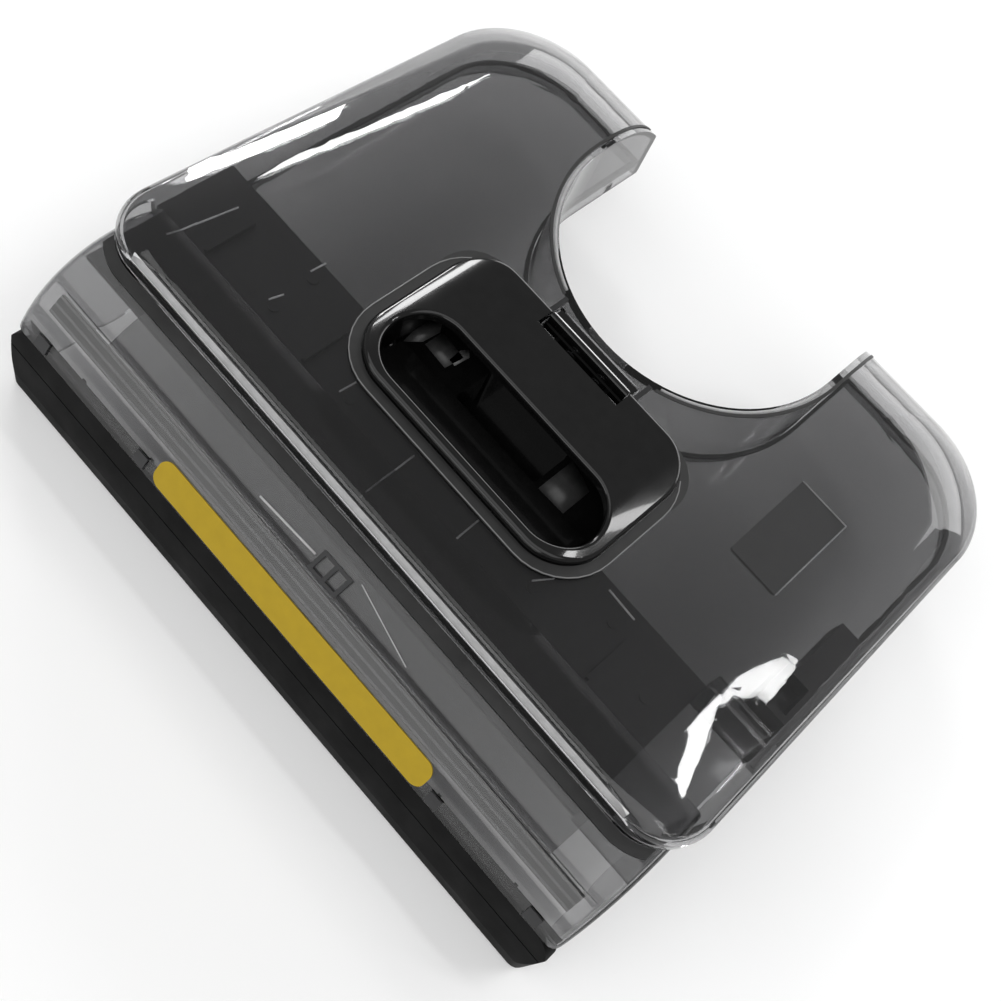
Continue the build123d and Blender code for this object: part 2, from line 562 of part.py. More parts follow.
GASKET_IN = 0.4
GASKET_OUT = 4.6
GASKET_HIGH = 0.9
with BuildPart() as bezel_gasket:
    add(rounded_block(-BEZEL_HALF - GASKET_OUT, BEZEL_HALF + GASKET_OUT, BEZEL_FRONT - GASKET_OUT,
                      BEZEL_REAR + 0.4, BODY_TOP, BODY_TOP + GASKET_HIGH,
                      BEZEL_FRONT_R + GASKET_OUT, BEZEL_REAR_R))
    add(rounded_block(-BEZEL_HALF - GASKET_IN, BEZEL_HALF + GASKET_IN, BEZEL_FRONT - GASKET_IN,
                      BEZEL_REAR + GASKET_IN, BODY_TOP - 1, BODY_TOP + 2,
                      BEZEL_FRONT_R + GASKET_IN, BEZEL_REAR_R + GASKET_IN), mode=Mode.SUBTRACT)
    add(block(-40, 40, 0, 30, BODY_TOP - 1, BODY_TOP + 3), mode=Mode.SUBTRACT)
save(bezel_gasket, "bezel_gasket")

# ---- latch housing and its screws -----------------------------------------------------------------
with BuildPart() as latch_housing:
    outer_half = HOUSING_HALF + HOUSING_WALL
    add(block(-outer_half, outer_half, HOUSING_FRONT, HOUSING_REAR, HOUSING_LOW, UNDERSIDE))
    add(block(-EAR_HALF, EAR_HALF, EAR_FRONT, EAR_REAR, UNDERSIDE - EAR_THICK, UNDERSIDE))
    add(block(-HOUSING_HALF, HOUSING_HALF, HOUSING_FRONT + HOUSING_WALL, HOUSING_REAR + 1,
              HOUSING_LOW + HOUSING_WALL, UNDERSIDE + 1), mode=Mode.SUBTRACT)
    # fences that keep the latch stem straight
    for side in (-1, 1):
        fence = side * (STEM_HALF + GAP + 0.8)
        add(block(fence - 0.8, fence + 0.8, HOUSING_FRONT + HOUSING_WALL, HOUSING_REAR,
                  HOUSING_LOW + HOUSING_WALL, PLATE_LOW - GAP))
    # pegs that hold the springs
    with BuildSketch(Plane.XZ.offset(-HOUSING_FRONT - HOUSING_WALL)):
        with Locations((-SPRING_X, SPRING_Z), (SPRING_X, SPRING_Z)):
            Circle(SPRING_R - SPRING_WIRE - 0.4)
    extrude(amount=-4)
    with BuildSketch(Plane.XY.offset(UNDERSIDE + 1)):
        with Locations(*screw_places):
            Circle(SCREW_R)
    extrude(amount=-EAR_THICK - 2, mode=Mode.SUBTRACT)
save(latch_housing, "latch_housing")


def screws(name, place_x):
    """Two pan-head screws from below, through the housing's ears and the window into the bezel."""
    head_top = UNDERSIDE - EAR_THICK
    with BuildPart() as group:
        with BuildSketch(Plane.XY.offset(head_top)):
            with Locations((-place_x, SCREW_Y), (place_x, SCREW_Y)):
                Circle(HEAD_R)
        extrude(amount=-HEAD_HIGH)
        with BuildSketch(Plane.XY.offset(head_top)):
            with Locations((-place_x, SCREW_Y), (place_x, SCREW_Y)):
                Circle(SCREW_R)
        extrude(amount=EAR_THICK + WALL + 2.6)
        with BuildSketch(Plane.XY.offset(head_top - HEAD_HIGH)):
            with Locations((-place_x, SCREW_Y), (place_x, SCREW_Y)):
                Rectangle(3.2, 0.8)
                Rectangle(0.8, 3.2)
        extrude(amount=0.9, mode=Mode.SUBTRACT)
    save(group, name)


screws("housing_screws", HOUSING_SCREW_X)
screws("bezel_screws", BEZEL_SCREW_X)

spring_length = PLATE_FRONT - HOUSING_FRONT - HOUSING_WALL - 2 * SPRING_WIRE - 0.2
spring_start = HOUSING_FRONT + HOUSING_WALL + SPRING_WIRE + 0.1
with BuildPart() as latch_springs:
    for spring_x in (-SPRING_X, SPRING_X):
        with BuildLine() as coil:
            Helix(spring_length / SPRING_TURNS, spring_length, SPRING_R,
                  center=(spring_x, spring_start, SPRING_Z), direction=(0, 1, 0))
        with BuildSketch(Plane(origin=coil.line @ 0, z_dir=coil.line % 0)):
            Circle(SPRING_WIRE)
        sweep(path=coil.line, is_frenet=True)
save(latch_springs, "latch_springs")

# ---- release latch: plate, ridge, stem and hook in one moulding ------------------------------------
with BuildPart() as release_latch:
    add(block(-PLATE_HALF, PLATE_HALF, PLATE_FRONT, PLATE_REAR, PLATE_LOW, PLATE_LOW + PLATE_THICK))
    add(block(-RIDGE_HALF, RIDGE_HALF, RIDGE_FRONT, RIDGE_FRONT + RIDGE_THICK,
              PLATE_LOW + PLATE_THICK, BODY_TOP + BEZEL_HIGH))
    ridge_top = release_latch.faces().sort_by(Axis.Z)[-1].edges().filter_by(Axis.X)
    fillet(ridge_top, 0.9)
    add(block(-STEM_HALF, STEM_HALF, PLATE_FRONT, STEM_REAR, STEM_LOW, PLATE_LOW))
    add(block(-HOOK_HALF, HOOK_HALF, STEM_REAR, HOOK_NOSE, HOOK_LOW, HOOK_LOW + HOOK_HIGH))
    nose = release_latch.faces().sort_by(Axis.Y)[-1].edges().filter_by(Axis.X).sort_by(Axis.Z)[0]
    chamfer(nose, 3.4)
save(release_latch, "release_latch")

GUIDE_IN = POCKET_HALF + 0.8
with BuildPart() as latch_guides:
    for side in (-1, 1):
        near = side * GUIDE_IN
        far = side * (GUIDE_IN + 1.8)
        add(block(min(near, far), max(near, far), BEZEL_REAR + 0.3, 25.6, BODY_TOP, BODY_TOP + 0.9))
save(latch_guides, "latch_guides")

# ---- trim line round the neck notch ---------------------------------------------------------------
TRIM_IN = 2.4
TRIM_WIDE = 1.3
TRIM_HIGH = 0.35
trim_zone = notch_block(TRIM_IN + TRIM_WIDE, SKIRT, BODY_TOP + 3)
trim_core = notch_block(TRIM_IN, SKIRT - 1, BODY_TOP + 4)
with BuildPart() as notch_trim:
    add(body_block(-TRIM_HIGH, SKIRT))
    add(body_outside, mode=Mode.SUBTRACT)
    add(trim_zone, mode=Mode.INTERSECT)
    add(trim_core, mode=Mode.SUBTRACT)
    add(block(-200, 200, -200, 127, 50, 90), mode=Mode.INTERSECT)
    add(block(-GUIDE_IN - 3, GUIDE_IN + 3, -10, 40, 50, 90), mode=Mode.SUBTRACT)
save(notch_trim, "notch_trim")
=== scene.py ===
# %% [markdown]
# # A see-through head cover for a floor washer
# The cover is a smoked box with a round notch for the machine's neck, an arched hood over the brush
# roller, a rubber bumper and a black grip with a latch. The imported model gives every shape and place.
# These cells give each piece its finish, and add thin pale and dark pieces that paint highlights, reflections
# and shade.

# %% Load the imported model
import json
import math
import bpy
import numpy as np
from mathutils import Matrix, Vector


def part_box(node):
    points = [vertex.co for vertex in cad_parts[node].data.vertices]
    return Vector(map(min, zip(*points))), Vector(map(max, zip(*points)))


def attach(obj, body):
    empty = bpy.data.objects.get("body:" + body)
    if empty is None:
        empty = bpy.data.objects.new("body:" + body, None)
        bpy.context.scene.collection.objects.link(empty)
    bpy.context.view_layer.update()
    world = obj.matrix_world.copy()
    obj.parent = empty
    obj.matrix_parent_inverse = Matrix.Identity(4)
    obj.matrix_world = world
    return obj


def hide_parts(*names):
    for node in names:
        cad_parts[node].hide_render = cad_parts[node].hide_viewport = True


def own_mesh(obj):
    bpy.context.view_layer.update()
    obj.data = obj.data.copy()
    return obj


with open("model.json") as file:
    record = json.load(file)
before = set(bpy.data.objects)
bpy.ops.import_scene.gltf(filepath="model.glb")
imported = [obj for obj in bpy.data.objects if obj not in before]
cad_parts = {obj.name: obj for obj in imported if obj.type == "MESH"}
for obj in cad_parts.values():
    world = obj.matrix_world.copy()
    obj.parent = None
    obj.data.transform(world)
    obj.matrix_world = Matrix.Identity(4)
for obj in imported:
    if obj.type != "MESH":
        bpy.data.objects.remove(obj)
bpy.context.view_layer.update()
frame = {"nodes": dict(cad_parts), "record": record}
MM = 0.001

# %% [markdown]
# ## Helpers for node materials
# A finish is a small graph of nodes. These helpers add a node, set its plain values and join its
# sockets, so that each finish below reads as a short list.

# %% Node helpers
def new_material(name):
    """An empty node material with an output node; returns the material and its output."""
    material = bpy.data.materials.new(name)
    material.use_nodes = True
    material.node_tree.nodes.clear()
    output = material.node_tree.nodes.new("ShaderNodeOutputMaterial")
    return material, output


def add_node(material, kind, **values):
    """Adds a node; a value goes to the socket of that name, or else to the node's own setting."""
    node = material.node_tree.nodes.new(kind)
    for name, value in values.items():
        socket_name = name.replace("_", " ")
        if socket_name in node.inputs:
            node.inputs[socket_name].default_value = value
        else:
            setattr(node, name, value)
    return node


def join(material, source, target):
    """Links an output socket to an input socket."""
    material.node_tree.links.new(source, target)


# %% [markdown]
# ## Patterns
# Every pattern is a noise on Object coordinates, in metres, so a scale of 1000 gives grains about a
# millimetre wide. A ramp turns it into a roughness or a mix, and a bump turns it into fine relief.

# %% Pattern helpers
def object_noise(material, scale, detail=3.0):
    """Noise on Object coordinates; the scale is in grains per metre."""
    place = add_node(material, "ShaderNodeTexCoord")
    noise = add_node(material, "ShaderNodeTexNoise", Scale=scale, Detail=detail)
    join(material, place.outputs["Object"], noise.inputs["Vector"])
    return noise.outputs["Fac"]


def ramp(material, source, low, high, low_at=0.3, high_at=0.7):
    """Maps a pattern's span low_at to high_at onto the span low to high."""
    node = add_node(material, "ShaderNodeMapRange", From_Min=low_at, From_Max=high_at,
                    To_Min=low, To_Max=high)
    join(material, source, node.inputs["Value"])
    return node.outputs["Result"]


def bumped(material, shader, height, strength, distance):
    """Gives a shader a bump from a height pattern; the distance is in metres."""
    bump = add_node(material, "ShaderNodeBump", Strength=strength, Distance=distance)
    join(material, height, bump.inputs["Height"])
    join(material, bump.outputs["Normal"], shader.inputs["Normal"])


# %% [markdown]
# ## Smoked plastic
# The window is clear polycarbonate with a grey dye. It is modelled as glass with a real wall: each wall
# lets through a set share of the light, so two walls in line look darker than one. Lamps would only
# light the inside through glass by chance, so to a shadow ray the plastic is a plain grey film.

# %% Smoked plastic finish
DUST_SCALE = 900.0
DUST_ROUGHNESS = 0.008
RIPPLE_SCALE = 14.0
RIPPLE_STRENGTH = 0.12
RIPPLE_HEIGHT = 0.0006


def smoked_plastic(name, passes, roughness):
    """Glass that passes the given share of light through a wall, with faint ripples and dust."""
    material, output = new_material(name)
    glass = add_node(material, "ShaderNodeBsdfPrincipled", IOR=1.5, Transmission_Weight=1.0)
    glass.inputs["Base Color"].default_value = (passes, passes, passes * 1.01, 1.0)
    film = add_node(material, "ShaderNodeBsdfTransparent")
    film.inputs["Color"].default_value = (math.sqrt(passes),) * 3 + (1.0,)
    dust = object_noise(material, DUST_SCALE, 2.0)
    dusty = ramp(material, dust, roughness, roughness + DUST_ROUGHNESS, 0.55, 0.8)
    join(material, dusty, glass.inputs["Roughness"])
    bumped(material, glass, object_noise(material, RIPPLE_SCALE, 1.0), RIPPLE_STRENGTH, RIPPLE_HEIGHT)
    rays = add_node(material, "ShaderNodeLightPath")
    mix = add_node(material, "ShaderNodeMixShader")
    join(material, rays.outputs["Is Shadow Ray"], mix.inputs["Fac"])
    join(material, glass.outputs["BSDF"], mix.inputs[1])
    join(material, film.outputs["BSDF"], mix.inputs[2])
    join(material, mix.outputs["Shader"], output.inputs["Surface"])
    return material


# %% [markdown]
# ## Solid plastics, rubber and steel
# A moulded part is never one flat colour. Satin black has a fine spark-eroded texture, gloss black has
# faint waves and dust, and rubber has a dull bloom. Each of them is a noise for the tone, a noise for
# the roughness and a noise for the bump, at the real scale.

# %% Solid finish
PATCH_SCALE = 60.0
TONE_SCALE = 220.0
COAT_ROUGHNESS = 0.03
GRAIN_STRENGTH = 0.5


def solid_finish(name, colour, roughness, spread, grain, grain_height, mottle=0.2, coat=0.0,
                 metallic=0.0, ior=1.5):
    """A solid with a mottled base colour, a patchy roughness and a fine raised grain.

    The colour runs from (1 - mottle) to (1 + mottle) times the given colour, and the roughness from
    the given one to that plus spread. The grain is in grains per metre, and its height in metres."""
    material, output = new_material(name)
    shader = add_node(material, "ShaderNodeBsdfPrincipled", IOR=ior, Metallic=metallic, Coat_Weight=coat,
                      Coat_Roughness=COAT_ROUGHNESS)
    patches = object_noise(material, PATCH_SCALE, 4.0)
    join(material, ramp(material, patches, roughness, roughness + spread), shader.inputs["Roughness"])
    tone = add_node(material, "ShaderNodeMix", data_type="RGBA")
    tone.inputs["A"].default_value = tuple(c * (1 - mottle) for c in colour) + (1.0,)
    tone.inputs["B"].default_value = tuple(c * (1 + mottle) for c in colour) + (1.0,)
    join(material, ramp(material, object_noise(material, TONE_SCALE), 0.0, 1.0), tone.inputs["Factor"])
    join(material, tone.outputs["Result"], shader.inputs["Base Color"])
    bumped(material, shader, object_noise(material, grain, 2.0), GRAIN_STRENGTH, grain_height)
    join(material, shader.outputs["BSDF"], output.inputs["Surface"])
    return material


# %% [markdown]
# ## One finish for each slot
# The record gives each node a material slot, and each slot has one finish here. The shares of light and
# the base colours were tuned by measuring how bright each surface came out against the tone it should
# have.

# %% Finish of every slot
def grey(level, blue=0.0):
    """A grey base colour, with a trace of blue where it is asked for."""
    return level, level, level + blue


finishes = {
    "smoked_window": smoked_plastic("smoked_window_finish", 0.40, 0.02),
    "smoked_hood": smoked_plastic("smoked_hood_finish", 0.50, 0.02),
    "smoked_floor": smoked_plastic("smoked_floor_finish", 0.36, 0.06),
    "seal_rubber": solid_finish("seal_rubber_finish", grey(0.010), 0.5, 0.2, 1500.0, 0.00004),
    "soft_pad": solid_finish("soft_pad_finish", grey(0.11), 0.6, 0.1, 1200.0, 0.00006, mottle=0.06),
    "black_plastic": solid_finish("black_plastic_finish", grey(0.008, 0.001), 0.35, 0.1, 1400.0, 0.00002),
    "baffle_plastic": solid_finish("baffle_plastic_finish", grey(0.007, 0.001), 0.4, 0.1, 900.0, 0.00002),
    "yellow_strip": solid_finish("yellow_strip_finish", (0.375, 0.255, 0.010), 0.5, 0.05, 1500.0, 0.00001,
                                 mottle=0.04, ior=1.3),
    "bumper_rubber": solid_finish("bumper_rubber_finish", grey(0.003), 0.5, 0.15, 1100.0, 0.00002, ior=1.15),
    "gloss_black": solid_finish("gloss_black_finish", grey(0.004), 0.10, 0.05, 300.0, 0.000004,
                                coat=0.5, ior=1.3),
    "screw_steel": solid_finish("screw_steel_finish", grey(0.5, 0.02), 0.25, 0.2, 600.0, 0.00003,
                                metallic=1.0),
    "spring_steel": solid_finish("spring_steel_finish", grey(0.6, 0.02), 0.2, 0.15, 800.0, 0.00002,
                                 metallic=1.0),
}
slot_of = {row["node"]: row["material_slot"] for row in frame["record"]["subparts"]}
for node, thing in frame["nodes"].items():
    thing.data.materials.clear()
    thing.data.materials.append(finishes[slot_of[node]])
print(len(slot_of), "nodes finished")

# %% [markdown]
# ## Finishes for lit marks
# Thick clear plastic gathers light along its edges, and short marks on the plate show as bright lines. Here
# thin added pieces with a pale satin finish are painted highlights and painted reflections. The real cover
# has no such pieces, and unlike true reflections they stay where they are when the view turns. There are
# three strengths.

# %% Lit finishes
def lit_finish(name, level, mottle):
    """A pale satin finish of the given grey level."""
    return solid_finish(name, grey(level), 0.3, 0.1, 900.0, 0.00001, mottle=mottle)


edge_light = lit_finish("edge_light_finish", 0.8, 0.1)
cup_light = lit_finish("cup_light_finish", 0.045, 0.3)
faint_light = lit_finish("faint_light_finish", 0.16, 0.1)
print("three lit finishes")

# %% [markdown]
# ## A tube along a path
# Most marks, and the latch's coil springs, are closed tubes. Ring k is the path point P_k plus
# r (cos a S + sin a U), where S is square to the path and to a chosen direction, and U is square to
# both. A tube ends in one point at each end, so it has no open rim.

# %% Tube
def ring_faces(rows, count):
    """Triangles between closed rings of count points, then fans to the two pole points after them."""
    here = np.arange(count)
    beside = (here + 1) % count
    row = np.arange(rows - 1)[:, None] * count
    corner = [row + here, row + count + here, row + count + beside, row + beside]
    first = np.stack([corner[0], corner[1], corner[2]], 2).reshape(-1, 3)
    second = np.stack([corner[0], corner[2], corner[3]], 2).reshape(-1, 3)
    pole, last = rows * count, (rows - 1) * count
    start = np.stack([np.full(count, pole), here, beside], 1)
    end = np.stack([np.full(count, pole + 1), last + beside, last + here], 1)
    return np.concatenate([first, second, start, end])


def tube(path, radius, steps=12, across=(0.0, 0.0, 1.0)):
    """Points and triangles of a closed tube: P_k + r (cos a S + sin a U), with a pole at each end."""
    path = np.asarray(path, float)
    along = np.gradient(path, axis=0)
    along /= np.linalg.norm(along, axis=1)[:, None]
    side = np.cross(along, across)
    side /= np.linalg.norm(side, axis=1)[:, None]
    over = np.cross(side, along)
    angle = np.arange(steps) * 2 * math.pi / steps
    spoke = np.cos(angle)[None, :, None] * side[:, None] + np.sin(angle)[None, :, None] * over[:, None]
    rings = path[:, None] + radius * spoke
    return np.concatenate([rings.reshape(-1, 3), path[:1], path[-1:]]), ring_faces(len(path), steps)


# %% [markdown]
# ## From arrays to a piece
# Shapes are worked out in millimetres, like the record, and become metres here. A piece rides a body of
# the imported model, so that it moves with it, and takes the finish that it is given.

# %% Piece helpers
def piece_of(name, parts, finish, body="cover"):
    """Joins point and face arrays into one mesh in metres, and makes it ride a body."""
    starts = np.cumsum([0] + [len(points) for points, _ in parts[:-1]])
    points = np.concatenate([points for points, _ in parts]) * MM
    faces = np.concatenate([faces + start for (_, faces), start in zip(parts, starts)])
    mesh = bpy.data.meshes.new(name)
    mesh.from_pydata(points.tolist(), [], faces.tolist())
    mesh.shade_smooth()
    mesh.materials.append(finish)
    thing = bpy.data.objects.new(name, mesh)
    bpy.context.scene.collection.objects.link(thing)
    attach(thing, body)
    print(name, len(faces), "faces")
    return thing


def straight_tube(start, end, radius):
    """A tube along a straight path of evenly spaced points."""
    return tube(np.linspace(start, end, 8), radius)


def mm_box(node):
    """The lowest and highest corner of a CAD node, in millimetres."""
    low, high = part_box(node)
    return np.array(low) / MM, np.array(high) / MM


# %% [markdown]
# ## Painted highlight and shade in the front rim of the window
# The front of the raised body rolls over into its wall. One broad pale band there is a painted highlight:
# a thin pale sheet inside the wall, whose profile is a quarter of an ellipse carried along X. Below it a
# dark sheet in the wall is painted shade, and closes the view through the wall.

# %% Front highlight and painted shade
shell_low, shell_high = mm_box("window_shell")
RIM_FRONT_Z = 69.5
ROLL_DEEP = 4.4
ROLL_HIGH = shell_high[2] - RIM_FRONT_Z
BAND_INSET = 0.8
BAND_THICK = 0.3
BAND_FROM = math.radians(48)
BAND_HALF = 123.0


def carried(loop, half, steps_along=40):
    """A closed (y, z) loop carried along X from -half to half: points (x_i, y_j, z_j), a pole at each end."""
    x = np.linspace(-half, half, steps_along)
    rings = np.concatenate([np.repeat(x, len(loop))[:, None], np.tile(loop, (steps_along, 1))], 1)
    poles = np.array([[-half, *loop.mean(0)], [half, *loop.mean(0)]])
    return np.concatenate([rings, poles]), ring_faces(steps_along, len(loop))


def rolled_skin(inset, steps=9):
    """The roll-off at a depth d in the wall: y = front + b - (b - d) sin a, z = rim + (h - d) cos a."""
    angle = np.linspace(BAND_FROM, math.pi / 2, steps)
    return np.stack([shell_low[1] + ROLL_DEEP - (ROLL_DEEP - inset) * np.sin(angle),
                     RIM_FRONT_Z + (ROLL_HIGH - inset) * np.cos(angle)], 1)


band_loop = np.concatenate([rolled_skin(BAND_INSET + BAND_THICK), rolled_skin(BAND_INSET)[::-1]])
# A pale sheet inside the front rim: a painted highlight.
piece_of("front_rim_highlight", [carried(band_loop, BAND_HALF)], edge_light)

# A dark sheet inside the front wall, below the pale band: painted shade.
WALL_SHADE_FRONT = shell_low[1] + 2.7
WALL_SHADE_BACK = WALL_SHADE_FRONT + 0.4
WALL_SHADE_LOW = 62.4
WALL_SHADE_TOP = 68.6
wall_shade_loop = np.array([(WALL_SHADE_FRONT, WALL_SHADE_LOW), (WALL_SHADE_FRONT, WALL_SHADE_TOP),
                        (WALL_SHADE_BACK, WALL_SHADE_TOP), (WALL_SHADE_BACK, WALL_SHADE_LOW)])
piece_of("front_wall_shade", [carried(wall_shade_loop, BAND_HALF - 2)], finishes["seal_rubber"])

# %% [markdown]
# ## Painted highlight along the notch
# A pale line on each side of the latch paints a highlight on the upper edge of the notch. Each line is a tube
# inside the notch's wall, along the arc x = r cos a, y = middle + r sin a.

# %% Notch lines
NOTCH_RADIUS = 63.0
NOTCH_MIDDLE = 87.8
MID_WALL = 1.2
LATCH_CLEAR = 24.0
sweep = np.radians(np.linspace(186, 354, 120))
notch_path = np.stack([(NOTCH_RADIUS + MID_WALL) * np.cos(sweep),
                       NOTCH_MIDDLE + (NOTCH_RADIUS + MID_WALL) * np.sin(sweep),
                       np.full(sweep.shape, shell_high[2] - MID_WALL)], 1)
notch_sides = [notch_path[notch_path[:, 0] < -LATCH_CLEAR], notch_path[notch_path[:, 0] > LATCH_CLEAR]]
# Pale tubes in the notch's wall: painted highlights.
piece_of("notch_rim_highlights", [tube(side, 0.7) for side in notch_sides], edge_light)

# %% [markdown]
# ## Painted highlights under the window
# Short pale lines show on the plate under the window. They may be low ribs or only light. Each is a thin tube
# between two measured places, with a pale finish that paints a highlight. The pad has two painted highlights,
# on its rear edge and on its right edge.

# %% Painted highlights on the plate and the pad
plate_highlight_z = mm_box("brush_baffle")[1][2] + 0.2
# Pale tubes on the plate: painted highlights.
PLATE_HIGHLIGHTS = [((-130, -70), (-126, -41)),
               ((-12, -78), (-12.5, -55)),
               ((-90.3, -36.6), (-89.9, -29.8)),
               ((-89.5, -56.6), (-88.1, -50.9)),
               ((-46.7, -60.0), (-46.1, -52.8)),
               ((19.6, -63.9), (19.3, -52.6)),
               ((47.1, -53.4), (51.4, -46.6)),
               ((66.7, -33.7), (80.1, -34.3))]
piece_of("plate_highlights", [straight_tube((*a, plate_highlight_z), (*b, plate_highlight_z), 0.35) for a, b in PLATE_HIGHLIGHTS],
         edge_light)

(pad_left, pad_front, _), (pad_right, pad_rear, pad_top) = mm_box("floor_pad")
pad_z = pad_top + 0.1
# Pale tubes on the pad's rear and right edges: painted highlights.
rear_edge = straight_tube((pad_left, pad_rear, pad_z), (pad_right, pad_rear, pad_z), 0.3)
right_edge = straight_tube((pad_right, pad_front, pad_z), (pad_right, pad_rear, pad_z), 0.3)
piece_of("pad_edge_highlights", [rear_edge, right_edge], edge_light)

# %% [markdown]
# ## Painted highlight round the grip's gasket
# A fine pale line along the gasket's outer edge, on its front and its ends, is a painted highlight. The path
# is a box with quarter circles at its corners, and the part behind the grip bar is left out.

# %% Gasket highlight
gasket_low, gasket_high = mm_box("bezel_gasket")
GASKET_CORNER_R = 24.0
LINE_INSET = 0.3
LINE_REAR = 8.0


def rounded_path(low, high, radius, inset):
    """Quarter circles at the corners of a box, pulled in by inset: middle + (r - inset)(cos a, sin a)."""
    quarter = np.linspace(0, math.pi / 2, 10)
    corners = []
    rounds = ((False, True), (False, False), (True, False), (True, True))
    for turn, (right, rear) in enumerate(rounds, 1):
        middle_x = high[0] - radius if right else low[0] + radius
        middle_y = high[1] - radius if rear else low[1] + radius
        swing = quarter + turn * math.pi / 2
        corners.append(np.stack([middle_x + (radius - inset) * np.cos(swing),
                                 middle_y + (radius - inset) * np.sin(swing)], 1))
    return np.concatenate(corners)


# A pale tube round the gasket's front and ends: a painted highlight.
outline = rounded_path(gasket_low, gasket_high, GASKET_CORNER_R, LINE_INSET)
front_outline = outline[outline[:, 1] < LINE_REAR]
line_z = np.full((len(front_outline), 1), gasket_high[2] - 0.05)
piece_of("gasket_highlight", [tube(np.concatenate([front_outline, line_z], 1), 0.25)], faint_light)

# %% [markdown]
# ## Painted highlights on the hood and the latch
# Two thin pale streaks in the hood's wall are painted highlights, and a bright tube on the latch's ridge is a
# painted highlight on its top edge. The ridge's highlight rides the latch, so it moves with it.

# %% Hood and ridge highlights
HOOD_MIDDLE_Y = -81.9
HOOD_MIDDLE_Z = 14.4
HOOD_RADIUS = 47.7
HOOD_HIGHLIGHT_DEPTH = 0.6


def in_hood(x, y):
    """A point in the hood's round wall: z = z0 + sqrt((R - depth)^2 - (y - y0)^2)."""
    return x, y, HOOD_MIDDLE_Z + math.sqrt((HOOD_RADIUS - HOOD_HIGHLIGHT_DEPTH) ** 2 - (y - HOOD_MIDDLE_Y) ** 2)


# Two pale tubes in the hood's wall: painted highlights.
piece_of("hood_highlights", [straight_tube(in_hood(-33.3, -105.4), in_hood(-6.0, -104.3), 0.4),
                          straight_tube(in_hood(12.0, -99.9), in_hood(42.0, -106.0), 0.2)],
         edge_light)

# A bright tube on the top edge of the latch's ridge: a painted highlight.
RIDGE_HIGHLIGHT_RADIUS = 0.5
RIDGE_HIGHLIGHT_HALF = 19.6
RIDGE_REAR = 15.2
ridge_highlight_y = RIDGE_REAR - RIDGE_HIGHLIGHT_RADIUS
ridge_highlight_z = mm_box("release_latch")[1][2] - RIDGE_HIGHLIGHT_RADIUS
piece_of("ridge_highlight", [straight_tube((-RIDGE_HIGHLIGHT_HALF, ridge_highlight_y, ridge_highlight_z), (RIDGE_HIGHLIGHT_HALF, ridge_highlight_y, ridge_highlight_z), RIDGE_HIGHLIGHT_RADIUS)],
         edge_light, "latch")

# %% [markdown]
# ## Latch springs
# Two coil springs push the latch to the rear. A coil is a tube along a helix, and its end turns lie
# flat, so that it stands square on its seat. When the latch is drawn forward the coils close up towards
# their front seat.

# %% Latch springs
spring_low, spring_high = mm_box("latch_springs")
WIRE = 0.45
COIL_TURNS = 7
STEPS_PER_TURN = 24
FLAT_TURNS = 0.6


def coil(middle_x, middle_z, radius, start_y, end_y):
    """A helix about a line along Y: x = x0 + r cos w, z = z0 + r sin w; y rises evenly between flat ends."""
    turns = np.linspace(0, COIL_TURNS, STEPS_PER_TURN * COIL_TURNS + 1)
    share = np.clip((turns - FLAT_TURNS) / (COIL_TURNS - 2 * FLAT_TURNS), 0, 1)
    closed = np.clip(turns, 0, FLAT_TURNS) + np.clip(turns - COIL_TURNS + FLAT_TURNS, 0, FLAT_TURNS)
    height = start_y + 2 * WIRE * closed + (end_y - start_y - 4 * WIRE * FLAT_TURNS) * share
    swing = 2 * math.pi * turns
    return np.stack([middle_x + radius * np.cos(swing), height, middle_z + radius * np.sin(swing)], 1)


coil_radius = (spring_high[2] - spring_low[2]) / 2 - WIRE
coil_x = spring_high[0] - coil_radius - WIRE
coil_z = (spring_low[2] + spring_high[2]) / 2
coil_ends = (spring_low[1] + WIRE, spring_high[1] - WIRE)
coils = [tube(coil(x, coil_z, coil_radius, *coil_ends), WIRE, across=(0, 1, 0)) for x in (-coil_x, coil_x)]
springs = piece_of("coil_springs", coils, finishes["spring_steel"])
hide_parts("latch_springs")
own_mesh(springs)

# %% [markdown]
# ## Sheen in the finger cup
# The cup is polished, and its floor shows pale shapes where it mirrors the room. Thin plates with four or
# five corners, just above the cup's floor, stand in for those reflections.

# %% Sheen plates
SHEEN_Z = 59.3


def plate(corners, height, thick=0.15):
    """Points and triangles of a thin flat plate with the given corners, counter-clockwise seen from above."""
    count = len(corners)
    low = np.concatenate([np.asarray(corners, float), np.full((count, 1), height)], 1)
    here = np.arange(count)
    beside = (here + 1) % count
    lower_walls = np.stack([here, beside, beside + count], 1)
    upper_walls = np.stack([here, beside + count, here + count], 1)
    fan = np.arange(1, count - 1)
    under = np.stack([np.zeros(count - 2, int), fan + 1, fan], 1)
    over = np.stack([np.zeros(count - 2, int), fan, fan + 1], 1) + count
    return np.concatenate([low, low + (0, 0, thick)]), np.concatenate([lower_walls, upper_walls, under, over])


SHEEN_SHAPES = [((-49, -28), (-44.7, -22), (-44, -14), (-47.6, -9), (-51, -17)),
                ((-43.5, -22), (-32, -22.6), (-31, -14), (-43.5, -13)),
                ((23.5, -27.5), (36, -27), (36, -13), (30, -11), (23.5, -9.5))]
GLINT_SHAPE = ((-33.5, -19), (-30.5, -19), (-29.8, -12), (-32.4, -10), (-34, -13))
piece_of("cup_sheen", [plate(shape, SHEEN_Z) for shape in SHEEN_SHAPES], cup_light)
piece_of("cup_glint", [plate(GLINT_SHAPE, SHEEN_Z)], faint_light)

# %% [markdown]
# ## Floor and world
# The floor is one pale sheet that bends up far behind the cover, so no edge of it shows to the camera.
# It stays flat in front, so a low view from behind does see its far edge.
# The world adds an even fill light.

